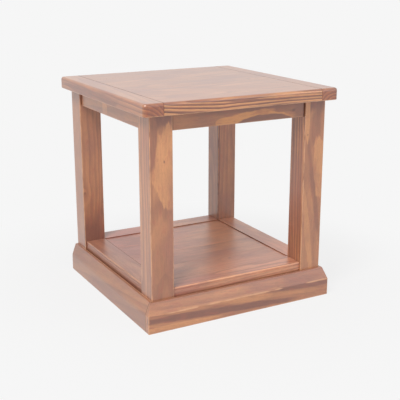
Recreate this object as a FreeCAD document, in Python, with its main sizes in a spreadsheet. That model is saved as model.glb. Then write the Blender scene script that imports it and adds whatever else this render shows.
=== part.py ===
import FreeCAD, Part
import os
import re
import Sketcher

# A square end table with a low shelf, in solid wood: four square legs joined by aprons at the top and
# by flat rails at the shelf, a plank top between two breadboard ends, and a skirting plinth that wraps
# the feet at the front and the sides. Millimetres. +Z is up, +X to the right, -Y to the front; the
# origin is on the floor below the centre of the top.

SIZES = {
    # the top
    "top_width": 600,
    "top_depth": 600,
    "table_height": 620,
    "top_thickness": 34,
    "top_overhang": 25,
    "top_corner_radius": 11,
    "top_edge_radius": 8,
    "top_underside_ease": 2,
    "end_width": 55.5,
    # the long tongue of the planks, in the groove of each breadboard end
    "tongue_length": 16,
    "tongue_thickness": 11,
    "tongue_setback": 20,
    "tongue_end_gap": 1,
    "pin_diameter": 8,
    "pin_length": 26,
    "pin_inset": 60,
    # the legs
    "leg_section": 67,
    "leg_ease": 2,
    # the aprons and their tenons
    "apron_height": 45,
    "apron_thickness": 20,
    "apron_setback": 6,
    "tenon_length": 28,
    "tenon_thickness": 8,
    "tenon_upper_shoulder": 12,
    "tenon_lower_shoulder": 6,
    "mortise_end_gap": 1.5,
    # the buttons that hold the top down on the aprons
    "button_width": 30,
    "button_length": 32,
    "button_height": 20,
    "button_tongue": 8,
    "button_tongue_thickness": 7,
    "button_spacing": 220,
    "button_slot_play": 2,
    "button_screw_length": 34,
    # the shelf rails and the dowels that join them to the legs
    "shelf_height": 109,
    "rail_thickness": 34,
    "rail_setback": 5,
    "dowel_diameter": 8,
    "dowel_length": 40,
    "dowel_edge": 9,
    "dowel_spacing": 14,
    "dowel_end_gap": 1,
    # the shelf panel, held by its tongue in the grooves of the rails
    "panel_thickness": 20,
    "panel_sink": 2.5,
    "panel_gap": 1,
    "panel_tongue": 8,
    "panel_tongue_thickness": 7,
    "panel_tongue_drop": 5,
    "panel_groove_gap": 1.5,
    # the plinth
    "plinth_height": 84.5,
    "plinth_thickness": 20.5,
    "bevel_height": 34.5,
    "bevel_inset": 13,
    "board_ease": 1.5,
    # the cleats that tie the plinth boards to the shelf rails
    "cleat_height": 40,
    "cleat_thickness": 22,
    "cleat_end_gap": 4,
    "cleat_screw_spacing": 240,
    "cleat_screw_stagger": 50,
    "cleat_screw_rise": 11,
    "rail_screw_length": 55,
    "plinth_screw_length": 33,
    # wood screws
    "screw_diameter": 4,
    "screw_head_diameter": 8,
    "screw_head_height": 3,
    "screw_tip": 5,
    # play between a piece and its hole, groove or mortise, on each side
    "fit": 0.1,
}

TOP_PLANKS = 5
PANEL_PLANKS = 4
PINS_PER_END = 3

# Planes that several pieces share, as formulas in the size names.
LEG_FACE_X = "(top_width/2 - top_overhang)"
LEG_FACE_Y = "(top_depth/2 - top_overhang)"
UNDERSIDE = "(table_height - top_thickness)"
SHOULDER_X = "(top_width/2 - end_width)"
TONGUE_Z = f"({UNDERSIDE} + top_thickness/2 - tongue_thickness/2)"
APRON_Z = f"({UNDERSIDE} - apron_height)"
TENON_Z = f"({APRON_Z} + tenon_lower_shoulder)"
TENON_HEIGHT = "(apron_height - tenon_lower_shoulder - tenon_upper_shoulder)"
TENON_INSET = "(apron_setback + apron_thickness/2 - tenon_thickness/2)"
RAIL_Z = "(shelf_height - rail_thickness)"
PANEL_TONGUE_Z = "(shelf_height - panel_sink - panel_tongue_drop - panel_tongue_thickness)"
BUTTON_Z = f"({UNDERSIDE} - button_height)"
CLEAT_Z = f"({RAIL_Z} - cleat_height)"

# A side piece is drawn as the front one, outside towards -Y, and turned about Z to its own side.
# "reach" is how far the legs' outer faces on that side are from the middle of the table, "half" is how
# far the legs reach to left and right along it, and "seat" is how far out the plinth board's inner
# face is: against the legs, but between them at the back.
BACK_SEAT = f"({LEG_FACE_Y} - plinth_thickness)"
SIDES = {
    "front": {"turn": 0, "reach": LEG_FACE_Y, "half": LEG_FACE_X, "seat": LEG_FACE_Y},
    "right": {"turn": 90, "reach": LEG_FACE_X, "half": LEG_FACE_Y, "seat": LEG_FACE_X},
    "back": {"turn": 180, "reach": LEG_FACE_Y, "half": LEG_FACE_X, "seat": BACK_SEAT},
    "left": {"turn": 270, "reach": LEG_FACE_X, "half": LEG_FACE_Y, "seat": LEG_FACE_X},
}

doc = FreeCAD.newDocument("end_table")
sheet = doc.addObject("Spreadsheet::Sheet", "sizes")
for row, (alias, value) in enumerate(SIZES.items(), 1):
    sheet.set(f"A{row}", alias)
    sheet.set(f"B{row}", str(value))
    sheet.setAlias(f"B{row}", alias)
doc.recompute()

nodes = []


def on_sheet(formula):
    """A formula in size names, as an expression on the sheet's cells."""
    return re.sub("[a-z_]+", lambda name: "sizes." + name.group(), formula)


def bind(thing, **formulas):
    """Ties properties of an object to formulas; base_x, base_y and base_z are its place."""
    for name, formula in formulas.items():
        path = "Placement.Base." + name[-1] if name.startswith("base_") else name
        thing.setExpression(path, on_sheet(formula))


def keep(thing, node, turn=0):
    """Names a finished sub-part, turned about the table's axis to its own side."""
    thing.Label = node
    thing.Placement = FreeCAD.Placement(
        FreeCAD.Vector(), FreeCAD.Rotation(FreeCAD.Vector(0, 0, 1), turn))
    nodes.append(thing)
    return thing


# ---------------------------------------------------------------- sketches, pads, pockets and fillets

def plane(body, role):
    return next(item for item in body.Origin.OriginFeatures if item.Role == role)


def sketch(body, role, corners, offset=None):
    """A closed outline on an origin plane of the body; each corner is a pair of formulas."""
    drawn = body.newObject("Sketcher::SketchObject", "Outline")
    drawn.AttachmentSupport = [(plane(body, role), "")]
    drawn.MapMode = "FlatFace"
    if offset:
        drawn.setExpression("AttachmentOffset.Base.z", on_sheet(offset))
    spots = [[float(sheet.evalExpression(on_sheet(axis))) for axis in corner] for corner in corners]
    count = len(corners)
    for index in range(count):
        ends = [FreeCAD.Vector(*spots[spot % count], 0) for spot in (index, index + 1)]
        drawn.addGeometry(Part.LineSegment(*ends))
    for index in range(count):
        drawn.addConstraint(Sketcher.Constraint("Coincident", index, 2, (index + 1) % count, 1))
    for index, corner in enumerate(corners):
        for kind, formula, value in zip(("DistanceX", "DistanceY"), corner, spots[index]):
            number = drawn.addConstraint(Sketcher.Constraint(kind, -1, 1, index, 1, value))
            drawn.setExpression(f"Constraints[{number}]", on_sheet(formula))
    return drawn


def rectangle(left, right, low, high):
    return [(left, low), (right, low), (right, high), (left, high)]


def pad(body, outline, length, midplane=False):
    made = body.newObject("PartDesign::Pad", "Pad")
    made.Profile = outline
    made.Midplane = midplane
    bind(made, Length=length)
    doc.recompute()
    return made


def pocket(body, outline, length):
    """Cuts the outline out of the body, from the sketch's own height upwards."""
    before = body.Shape.Volume
    made = body.newObject("PartDesign::Pocket", "Pocket")
    made.Profile = outline
    made.Reversed = True
    bind(made, Length=length)
    doc.recompute()
    assert made.Shape.Volume < before, f"a pocket of {body.Label} cuts nothing"
    return made


def block(body, corners, bottom, height):
    """Adds an upright block with the given plan, from one height up."""
    return pad(body, sketch(body, "XY_Plane", corners, bottom), height)


def recess(body, corners, bottom, height):
    """Takes an upright block with the given plan out of the body."""
    return pocket(body, sketch(body, "XY_Plane", corners, bottom), height)


def fillet(body, radius, chosen):
    """Rounds the edges of the body that the test picks from their box."""
    base = body.Tip
    names = [f"Edge{number}" for number, edge in enumerate(base.Shape.Edges, 1)
             if chosen(edge.BoundBox)]
    assert names, f"no edge of {body.Label} to round"
    made = body.newObject("PartDesign::Fillet", "Fillet")
    made.Base = (base, names)
    bind(made, Radius=radius)
    doc.recompute()
    return made


def same(first, second):
    return abs(first - second) < 1e-6


def new_body(name):
    body = doc.addObject("PartDesign::Body", name)
    body.Label = name
    return body


# ------------------------------------------------------------------------- pins, dowels, screws, holes

DIRECTIONS = {
    "up": FreeCAD.Rotation(),
    "outward": FreeCAD.Rotation(FreeCAD.Vector(1, 0, 0), 90),
    "across": FreeCAD.Rotation(FreeCAD.Vector(0, 1, 0), 90),
}


def rod(name, spot, direction, diameter, length):
    """A round rod that starts at a spot and runs up, outward (-Y) or across (+X)."""
    made = doc.addObject("Part::Cylinder", name)
    made.Placement = FreeCAD.Placement(FreeCAD.Vector(), DIRECTIONS[direction])
    bind(made, Radius=f"({diameter})/2", Height=length,
         base_x=spot[0], base_y=spot[1], base_z=spot[2])
    return made


def cone(name, spot, direction, wide, narrow, length):
    made = doc.addObject("Part::Cone", name)
    made.Placement = FreeCAD.Placement(FreeCAD.Vector(), DIRECTIONS[direction])
    bind(made, Radius1=f"({wide})/2", Radius2=f"({narrow})/2", Height=length,
         base_x=spot[0], base_y=spot[1], base_z=spot[2])
    return made


def screw(name, spot, direction, length, play="0*fit"):
    """A countersunk wood screw from its head's face; with play, the hole that it goes in."""
    def along(distance):
        x, y, z = spot
        return {"up": (x, y, f"{z} + {distance}"), "outward": (x, f"{y} - ({distance})", z)}[direction]

    slim = f"screw_diameter + {play}"
    head = f"screw_head_diameter + {play}"
    shank_length = f"({length} - screw_head_height - screw_tip)"
    made = doc.addObject("Part::MultiFuse", name)
    made.Shapes = [
        cone(name + "_head", spot, direction, head, slim, "screw_head_height"),
        rod(name + "_shank", along("screw_head_height"), direction, slim, shank_length),
        cone(name + "_tip", along(f"({length} - screw_tip)"), direction, slim,
             f"({slim})/4", "screw_tip"),
    ]
    return made


def group(name, things):
    made = doc.addObject("Part::Compound", name)
    made.Links = things
    return made


def turned(name, side, things):
    """Things drawn at the front, turned to their own side."""
    made = group(name, things)
    made.Placement = FreeCAD.Placement(
        FreeCAD.Vector(), FreeCAD.Rotation(FreeCAD.Vector(0, 0, 1), SIDES[side]["turn"]))
    return made


def drilled(blank, node, holes, turn=0):
    """A finished sub-part: its blank, turned to its side, with every hole that meets it."""
    blank.Label = node + "_blank"
    blank.Placement = FreeCAD.Placement(
        FreeCAD.Vector(), FreeCAD.Rotation(FreeCAD.Vector(0, 0, 1), turn))
    made = doc.addObject("Part::Cut", node)
    made.Base = blank
    made.Tool = holes
    made.Label = node
    nodes.append(made)
    return made


# --------------------------------------------------------------- where the fasteners are, with holes

def pin_set(name, diameter, gap):
    """The pins up through each breadboard end and the planks' tongue, from the underside."""
    reach_x = "(top_width/2 - end_width + tongue_length/2)"
    made = []
    for end in ("-", ""):
        for index in range(PINS_PER_END):
            offset = f"(top_depth/2 - pin_inset)*({2*index}/{PINS_PER_END - 1} - 1)"
            spot = (f"{end}1*{reach_x}", offset, UNDERSIDE)
            made.append(rod(name, spot, "up", diameter, f"pin_length + {gap}"))
    return made


def dowel_set(name, diameter, gap):
    """Two dowels at each end of each shelf rail, half in the rail and half in the leg."""
    made = []
    for side, frame in SIDES.items():
        here = []
        for end in ("-", ""):
            for index in range(2):
                outward = f"({frame['reach']} - rail_setback - dowel_edge - dowel_spacing*{index})"
                start = f"{end}1*({frame['half']} - leg_section) - dowel_length/2 - {gap}"
                spot = (start, f"-{outward}", f"{RAIL_Z} + rail_thickness/2")
                here.append(rod(name, spot, "across", diameter, f"dowel_length + 2*{gap}"))
        made.append(turned(f"{name}_{side}", side, here))
    return made


def button_screw_set(name, play):
    """One screw up through each button into the top."""
    made = []
    for side, frame in SIDES.items():
        inner = f"({frame['reach']} - apron_setback - apron_thickness)"
        here = []
        for end in ("-", ""):
            spot = (f"{end}button_spacing/2", f"-({inner} - button_length/2)", BUTTON_Z)
            here.append(screw(name, spot, "up", "button_screw_length", play))
        made.append(turned(f"{name}_{side}", side, here))
    return made


def cleat_screw_set(name, play):
    """Screws through each cleat: two up into the shelf rail, two outward into the plinth."""
    made = []
    for side, frame in SIDES.items():
        middle = f"-({frame['seat']} - cleat_thickness/2)"
        inner = f"-({frame['seat']} - cleat_thickness)"
        here = []
        for end in ("-", ""):
            up = (f"{end}cleat_screw_spacing/2", middle, CLEAT_Z)
            out = (f"{end}(cleat_screw_spacing/2 + cleat_screw_stagger)", inner,
                   f"{CLEAT_Z} + cleat_screw_rise")
            here.append(screw(name, up, "up", "rail_screw_length", play))
            here.append(screw(name, out, "outward", "plinth_screw_length", play))
        made.append(turned(f"{name}_{side}", side, here))
    return made


pin_holes = group("pin_holes", pin_set("pin_hole", "(pin_diameter + 2*fit)", "tongue_end_gap"))
dowel_holes = group("dowel_holes", dowel_set("dowel_hole", "(dowel_diameter + 2*fit)", "dowel_end_gap"))
button_holes = group("button_holes", button_screw_set("button_hole", "2*fit"))
cleat_holes = group("cleat_holes", cleat_screw_set("cleat_hole", "2*fit"))
top_holes = group("top_holes", [pin_holes, button_holes])
rail_holes = group("rail_holes", [dowel_holes, cleat_holes])


# -------------------------------------------------------------------------------------------- the top

def top_plank(number):
    """One plank of the top, grain left to right, with its share of the long tongue at both ends."""
    first = number == 1
    last = number == TOP_PLANKS
    low = f"(top_depth*{number - 1}/{TOP_PLANKS} - top_depth/2)"
    high = f"(top_depth*{number}/{TOP_PLANKS} - top_depth/2)"
    body = new_body(f"top_plank_{number}_body")
    block(body, rectangle(f"-{SHOULDER_X}", SHOULDER_X, low, high), UNDERSIDE, "top_thickness")
    if first or last:
        edge = body.Shape.BoundBox.YMin if first else body.Shape.BoundBox.YMax
        for radius, level in (("top_edge_radius", body.Shape.BoundBox.ZMax),
                              ("top_underside_ease", body.Shape.BoundBox.ZMin)):
            fillet(body, radius, lambda box: same(box.YMin, edge) and same(box.YMax, edge)
                   and same(box.ZMin, level) and same(box.ZMax, level))
    tongue_low = f"{low} + tongue_setback" if first else low
    tongue_high = f"{high} - tongue_setback" if last else high
    tongue_x = f"({SHOULDER_X} + tongue_length)"
    block(body, rectangle(f"-{tongue_x}", tongue_x, tongue_low, tongue_high), TONGUE_Z,
          "tongue_thickness")
    return drilled(body, f"top_plank_{number}", top_holes)


def breadboard_end(node, turn):
    """The left end of the top, grain front to back, with a stopped groove for the tongue."""
    body = new_body(node + "_body")
    block(body, rectangle("-top_width/2", f"-{SHOULDER_X}", "-top_depth/2", "top_depth/2"),
          UNDERSIDE, "top_thickness")
    box = body.Shape.BoundBox
    fillet(body, "top_corner_radius", lambda edge: same(edge.XMax, box.XMin) and edge.ZLength > 1)
    for radius, level in (("top_edge_radius", box.ZMax), ("top_underside_ease", box.ZMin)):
        fillet(body, radius, lambda edge: same(edge.ZMin, level) and same(edge.ZMax, level)
               and not same(edge.XMin, box.XMax))
    groove_x = f"({SHOULDER_X} + tongue_length + tongue_end_gap)"
    groove_y = "(top_depth/2 - tongue_setback + tongue_end_gap)"
    recess(body, rectangle(f"-{groove_x}", f"-{SHOULDER_X} + top_overhang", f"-{groove_y}", groove_y),
           f"{TONGUE_Z} - fit", "tongue_thickness + 2*fit")
    return drilled(body, node, top_holes, turn)


# ------------------------------------------------------------------------------- the legs and aprons

def leg(node, turn, face_x, face_y):
    """A square post, drawn with its outer corner at the origin and its inner faces towards +X, +Y."""
    body = new_body(node + "_body")
    block(body, rectangle("0*leg_section", "leg_section", "0*leg_section", "leg_section"),
          "0*leg_section", UNDERSIDE)
    fillet(body, "leg_ease", lambda edge: edge.ZLength > 1)
    inner = "leg_section - tenon_length - mortise_end_gap"
    near = f"{TENON_INSET} - fit"
    far = f"{TENON_INSET} + tenon_thickness + fit"
    open_side = "leg_section + leg_ease"
    bottom = f"{TENON_Z} - fit"
    height = f"{TENON_HEIGHT} + 2*fit"
    recess(body, rectangle(inner, open_side, near, far), bottom, height)
    recess(body, rectangle(near, far, inner, open_side), bottom, height)
    made = drilled(body, node, dowel_holes)
    body.Placement = FreeCAD.Placement(
        FreeCAD.Vector(), FreeCAD.Rotation(FreeCAD.Vector(0, 0, 1), turn))
    bind(body, base_x=face_x, base_y=face_y)
    return made


def apron(side):
    """A board on edge below the top, tenoned into the legs, with two slots for the buttons."""
    frame = SIDES[side]
    body = new_body(f"apron_{side}_body")
    shoulder = f"({frame['half']} - leg_section)"
    outside = f"-({frame['reach']} - apron_setback)"
    inside = f"({outside} + apron_thickness)"
    block(body, rectangle(f"-{shoulder}", shoulder, outside, inside), APRON_Z, "apron_height")
    box = body.Shape.BoundBox
    fillet(body, "board_ease", lambda edge: same(edge.ZMax, box.ZMin) and same(edge.YLength, 0))
    tip = f"({shoulder} + tenon_length)"
    tenon_y = f"({outside} + apron_thickness/2 - tenon_thickness/2)"
    block(body, rectangle(f"-{tip}", tip, tenon_y, f"{tenon_y} + tenon_thickness"), TENON_Z,
          TENON_HEIGHT)
    for end in ("-", ""):
        middle = f"{end}button_spacing/2"
        half_slot = "(button_width/2 + button_slot_play)"
        recess(body, rectangle(f"{middle} - {half_slot}", f"{middle} + {half_slot}",
                               f"{inside} - button_tongue - button_slot_play",
                               f"{inside} + button_slot_play"),
               f"{BUTTON_Z} - fit", "button_tongue_thickness + 2*fit")
    return keep(body, f"apron_{side}", frame["turn"])


def button_set(side):
    """Two wooden buttons: each fits flat under the top with its tongue in the apron's slot."""
    frame = SIDES[side]
    inside = f"-({frame['reach']} - apron_setback - apron_thickness)"
    made = []
    for end in ("-", ""):
        body = new_body(f"button_{side}_{len(made) + 1}")
        left = f"({end}button_spacing/2 - button_width/2)"
        right = f"({end}button_spacing/2 + button_width/2)"
        block(body, rectangle(left, right, f"{inside} + fit", f"{inside} + button_length"),
              BUTTON_Z, "button_height")
        block(body, rectangle(left, right, f"{inside} - button_tongue",
                              f"{inside} + button_length/4"), BUTTON_Z, "button_tongue_thickness")
        made.append(body)
    return turned(f"buttons_{side}", side, made)


# ------------------------------------------------------------------------------------------ the shelf

def shelf_rail(side):
    """A flat rail between two legs, its inner edge in line with theirs and grooved for the panel."""
    frame = SIDES[side]
    body = new_body(f"shelf_rail_{side}_body")
    end = f"({frame['half']} - leg_section)"
    outside = f"-({frame['reach']} - rail_setback)"
    inside = f"-({frame['reach']} - leg_section)"
    block(body, rectangle(f"-{end}", end, outside, inside), RAIL_Z, "rail_thickness")
    box = body.Shape.BoundBox
    fillet(body, "board_ease", lambda edge: same(edge.YMax, box.YMin) and same(edge.ZLength, 0))
    recess(body, rectangle(f"-{end} - leg_ease", f"{end} + leg_ease",
                           f"{inside} - panel_tongue - panel_groove_gap", f"{inside} + panel_groove_gap"),
           PANEL_TONGUE_Z, "panel_tongue_thickness + 2*fit")
    return drilled(body, f"shelf_rail_{side}", rail_holes, frame["turn"])


def shelf_plank(number):
    """One plank of the shelf panel, with a tongue on each edge that meets a rail."""
    half_x = f"({LEG_FACE_X} - leg_section - panel_gap)"
    half_y = f"({LEG_FACE_Y} - leg_section - panel_gap)"
    low = f"({half_y}*2*{number - 1}/{PANEL_PLANKS} - {half_y})"
    high = f"({half_y}*2*{number}/{PANEL_PLANKS} - {half_y})"
    proud = "(panel_gap + panel_tongue)"
    body = new_body(f"shelf_plank_{number}_body")
    block(body, rectangle(f"-{half_x}", half_x, low, high),
          "shelf_height - panel_sink - panel_thickness", "panel_thickness")
    block(body, rectangle(f"-{half_x} - {proud}", f"{half_x} + {proud}", low, high),
          PANEL_TONGUE_Z, "panel_tongue_thickness")
    if number == 1:
        block(body, rectangle(f"-{half_x}", half_x, f"{low} - {proud}", high),
              PANEL_TONGUE_Z, "panel_tongue_thickness")
    if number == PANEL_PLANKS:
        block(body, rectangle(f"-{half_x}", half_x, low, f"{high} + {proud}"),
              PANEL_TONGUE_Z, "panel_tongue_thickness")
    return keep(body, f"shelf_plank_{number}")


# ----------------------------------------------------------------------------------------- the plinth

def plinth_blank(side, half_length):
    """A skirting board against two legs, square at both ends, with a steep bevel along its top."""
    body = new_body(f"plinth_{side}_body")
    inside = f"-{SIDES[side]['seat']}"
    outside = f"({inside} - plinth_thickness)"
    profile = [
        (inside, "0*plinth_height"),
        (outside, "0*plinth_height"),
        (outside, "plinth_height - bevel_height"),
        (f"{outside} + bevel_inset", "plinth_height"),
        (inside, "plinth_height"),
    ]
    pad(body, sketch(body, "YZ_Plane", profile), f"2*{half_length}", True)
    return body


def plinth_side(side):
    """The board on the left or right, butted against the front board and flush with the legs' backs."""
    body = plinth_blank(side, SIDES[side]["half"])
    inner = body.Shape.BoundBox.YMax
    fillet(body, "board_ease", lambda edge: edge.XLength > 1 and not same(edge.YMax, inner))
    return drilled(body, f"plinth_{side}", cleat_holes, SIDES[side]["turn"])


def plinth_front():
    """The full-width front board; it covers the side boards' ends, and its bevel returns at its own."""
    half_length = f"({LEG_FACE_X} + plinth_thickness)"
    body = plinth_blank("front", half_length)
    inner = body.Shape.BoundBox.YMax
    for end in ("-", ""):
        above = (f"{end}({half_length} - 2*bevel_inset)", "plinth_height + bevel_height")
        below = (f"{end}({half_length} + bevel_inset)", "plinth_height - 2*bevel_height")
        outer = (below[0], above[1])
        pocket(body, sketch(body, "XZ_Plane", [above, below, outer]), "top_depth/2")
    fillet(body, "board_ease", lambda edge: not same(edge.YMin, inner))
    return drilled(body, "plinth_front", cleat_holes)


def plinth_back():
    """A plain board between the back legs, flush with their backs, that fills the space below the rail."""
    frame = SIDES["back"]
    body = new_body("plinth_back_body")
    end = f"({frame['half']} - leg_section)"
    block(body, rectangle(f"-{end}", end, f"-{frame['reach']}", f"-{frame['seat']}"),
          "0*plinth_height", RAIL_Z)
    return drilled(body, "plinth_back", cleat_holes, frame["turn"])


def cleat(side):
    """A batten between two legs, against the plinth board and under the shelf rail."""
    frame = SIDES[side]
    body = new_body(f"cleat_{side}_body")
    end = f"({frame['half']} - leg_section - cleat_end_gap)"
    block(body, rectangle(f"-{end}", end, f"-{frame['seat']}", f"-({frame['seat']} - cleat_thickness)"),
          CLEAT_Z, "cleat_height")
    return drilled(body, f"cleat_{side}", cleat_holes, frame["turn"])


# -------------------------------------------------------------------------------------- the assembly

for number in range(1, TOP_PLANKS + 1):
    top_plank(number)
breadboard_end("breadboard_end_left", 0)
breadboard_end("breadboard_end_right", 180)
keep(group("breadboard_pins_group", pin_set("pin", "pin_diameter", "0*fit")), "breadboard_pins")

leg("leg_front_left", 0, f"-{LEG_FACE_X}", f"-{LEG_FACE_Y}")
leg("leg_front_right", 90, LEG_FACE_X, f"-{LEG_FACE_Y}")
leg("leg_back_right", 180, LEG_FACE_X, LEG_FACE_Y)
leg("leg_back_left", 270, f"-{LEG_FACE_X}", LEG_FACE_Y)

for side in SIDES:
    apron(side)
drilled(group("buttons", [button_set(side) for side in SIDES]), "top_buttons", button_holes)
keep(group("button_screws_group", button_screw_set("button_screw", "0*fit")), "button_screws")

for side in SIDES:
    shelf_rail(side)
keep(group("rail_dowels_group", dowel_set("dowel", "dowel_diameter", "0*fit")), "rail_dowels")
for number in range(1, PANEL_PLANKS + 1):
    shelf_plank(number)

plinth_front()
plinth_side("left")
plinth_side("right")
plinth_back()
for side in SIDES:
    cleat(side)
keep(group("cleat_screws_group", cleat_screw_set("cleat_screw", "0*fit")), "cleat_screws")

doc.recompute()
for thing in doc.Objects:
    assert not {"Invalid", "Error"} & set(thing.State), f"{thing.Label} is {thing.State}"
for node in nodes:
    assert not node.Shape.isNull() and node.Shape.isValid(), f"{node.Label} has a bad shape"

os.makedirs("parts", exist_ok=True)
for node in nodes:
    node.Shape.exportStep(f"parts/{node.Label}.step")
    box = node.Shape.BoundBox
    print(f"{node.Label}: {len(node.Shape.Solids)} solids, {node.Shape.Volume / 1000:.1f} cm3, "
          f"x {box.XMin:.1f} to {box.XMax:.1f}, y {box.YMin:.1f} to {box.YMax:.1f}, "
          f"z {box.ZMin:.1f} to {box.ZMax:.1f}")
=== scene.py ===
import math

import bmesh
import bpy
from mathutils import Matrix, Vector


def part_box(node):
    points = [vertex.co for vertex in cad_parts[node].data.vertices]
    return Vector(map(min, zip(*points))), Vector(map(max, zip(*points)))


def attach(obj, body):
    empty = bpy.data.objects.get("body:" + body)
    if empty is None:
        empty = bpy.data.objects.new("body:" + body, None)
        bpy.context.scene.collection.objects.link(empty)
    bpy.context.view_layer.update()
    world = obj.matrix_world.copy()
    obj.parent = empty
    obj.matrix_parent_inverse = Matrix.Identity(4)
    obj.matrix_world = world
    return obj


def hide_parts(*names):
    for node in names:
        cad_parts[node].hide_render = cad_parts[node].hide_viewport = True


# A square end table with a low shelf, in stained softwood under satin lacquer. Metres; +Z is up and
# the front is -Y. Each piece stands for one CAD node or more. The boards of the sides are drawn at
# the front and turned to their own side.

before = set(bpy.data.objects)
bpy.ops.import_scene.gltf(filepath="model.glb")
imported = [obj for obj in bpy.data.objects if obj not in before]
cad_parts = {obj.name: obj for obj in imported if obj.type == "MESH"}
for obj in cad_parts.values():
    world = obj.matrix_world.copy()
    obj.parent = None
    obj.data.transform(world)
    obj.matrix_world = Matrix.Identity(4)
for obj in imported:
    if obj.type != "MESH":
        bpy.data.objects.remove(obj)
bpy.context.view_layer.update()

MM = 0.001
RIGHT_ANGLE = math.pi / 2
SIDE_TURNS = {"front": 0, "right": 90, "back": 180, "left": 270}


def new_object(name, data):
    """An object in the scene."""
    made = bpy.data.objects.new(name, data)
    bpy.context.scene.collection.objects.link(made)
    return made


def linear(red, green, blue):
    """A colour given as it looks on a screen, 0 to 255, as the renderer wants it."""
    def channel(value):
        value /= 255
        return value / 12.92 if value <= 0.04045 else ((value + 0.055) / 1.055) ** 2.4

    return (channel(red), channel(green), channel(blue), 1.0)


# ---------- node writing

def arithmetic(operation):
    """A method that adds a Math node."""
    return lambda self, other: self.tree.maths(operation, self, other)


class Socket:
    """An output in a node tree. Arithmetic on it adds Math nodes."""

    def __init__(self, tree, output):
        self.tree = tree
        self.output = output

    def __rsub__(self, other):
        return self.tree.maths("SUBTRACT", other, self)

    __add__ = __radd__ = arithmetic("ADD")
    __sub__ = arithmetic("SUBTRACT")
    __mul__ = __rmul__ = arithmetic("MULTIPLY")
    __truediv__ = arithmetic("DIVIDE")


class Tree:
    """A node tree that is written as Python expressions."""

    def __init__(self, tree):
        self.nodes = tree.nodes
        self.links = tree.links

    def node(self, kind, settings=None, sockets=None, output=0):
        """Adds a node: its settings first, then the values or links of its sockets."""
        made = self.nodes.new(kind)
        for name, value in (settings or {}).items():
            setattr(made, name, value)
        for name, value in (sockets or {}).items():
            if isinstance(value, Socket):
                self.links.new(value.output, made.inputs[name])
            else:
                made.inputs[name].default_value = value
        return Socket(self, made.outputs[output])

    def maths(self, operation, *values):
        return self.node("ShaderNodeMath", {"operation": operation}, dict(enumerate(values)))

    def join(self, x, y, z):
        return self.node("ShaderNodeCombineXYZ", {}, {"X": x, "Y": y, "Z": z})

    def parts(self, vector):
        split = self.node("ShaderNodeSeparateXYZ", {}, {"Vector": vector}).output.node
        return [Socket(self, output) for output in split.outputs]


# ---------- finishes

class Finish(Tree):
    """A procedural material round one Principled shader, and the slot that it is for."""

    def __init__(self, slot, constants):
        self.slot = slot
        self.material = bpy.data.materials.new(slot)
        self.material.use_nodes = True
        super().__init__(self.material.node_tree)
        self.shader = self.nodes["Principled BSDF"]
        for socket, value in constants.items():
            self.shader.inputs[socket].default_value = value

    def attribute(self, name, output="Vector"):
        return self.node("ShaderNodeAttribute", {"attribute_name": name}, {}, output)

    def place(self):
        """Where a point lies on the table."""
        return self.parts(self.node("ShaderNodeTexCoord", output="Object"))

    def rise(self, value, low, high):
        """0 at low, 1 at high and smooth between; it falls where low is above high."""
        return self.node("ShaderNodeMapRange", {"interpolation_type": "SMOOTHSTEP"},
                         {"Value": value, "From Min": low, "From Max": high})

    def noise(self, vector, detail=2.0, output="Fac"):
        return self.node("ShaderNodeTexNoise", {},
                         {"Vector": vector, "Scale": 1.0, "Detail": detail}, output)

    def lay(self, mask, under, over, mode="MIX"):
        """Lays one colour over another where the mask is 1."""
        return self.node("ShaderNodeMix", {"data_type": "RGBA", "blend_type": mode},
                         {0: mask, 6: under, 7: over}, 2)

    def done(self, colour, roughness, height=None, depth=0.0, coat=None):
        """Links what was made to the shader. Height is a relief of the given depth."""
        self.links.new(colour.output, self.shader.inputs["Base Color"])
        self.links.new(roughness.output, self.shader.inputs["Roughness"])
        if coat:
            self.links.new(coat.output, self.shader.inputs["Coat Weight"])
        if height:
            bump = self.node("ShaderNodeBump", {}, {"Height": height, "Distance": depth})
            self.links.new(bump.output, self.shader.inputs["Normal"])
        return self


class FlameAndPaintedLight:
    """A patch where the saw grazed a ring, so that late wood shows broad and light, or early wood
    dark where the tone is below 0; some patches are no figure but painted light and painted shade.
    Its face is one of the board's own short axes, "across" or "deep", with a minus where it looks
    down that axis. Along is its place on the log, and aside its place from the board's middle. It
    drifts aside by its lean as it goes along, and soft is how much of it fades. Lengths are in
    millimetres."""

    def __init__(self, face, along, aside, length, width, tone, lean=0.0, soft=0.13):
        self.sign = -1.0 if face[0] == "-" else 1.0
        self.outward, self.sideways = (1, 2) if face.lstrip("-") == "across" else (2, 1)
        self.along = along * MM
        self.aside = aside * MM
        self.length = length * MM
        self.width = width * MM
        self.tone = tone
        self.lean = lean
        self.core = 1.0 - soft


def branches(finish, along, across, deep, knots):
    """The bulge that a log's knots give to its rings, and a mask of their cores. A knot is its place
    along the grain, the angle it points at in degrees, the radius of its heart, and how far from it
    and by how much the rings bulge, in millimetres."""
    drawn_out = 1.6
    pith = 6 * MM
    bulge, core = 0.0, 0.0
    for place, angle, heart, reach, swelling in knots:
        angle = math.radians(angle)
        outward = across * math.cos(angle) + deep * math.sin(angle)
        aside = across * math.sin(angle) - deep * math.cos(angle)
        lengthwise = (along - place * MM) / drawn_out
        gone = finish.maths("SQRT", lengthwise * lengthwise + aside * aside)
        this_side = finish.rise(outward, 0.0, pith)
        bulge = finish.rise(gone, reach * MM, 0.0) * this_side * (swelling * MM) + bulge
        core = finish.rise(gone, heart * MM, 0.0) * this_side + core
    return bulge, core


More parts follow.
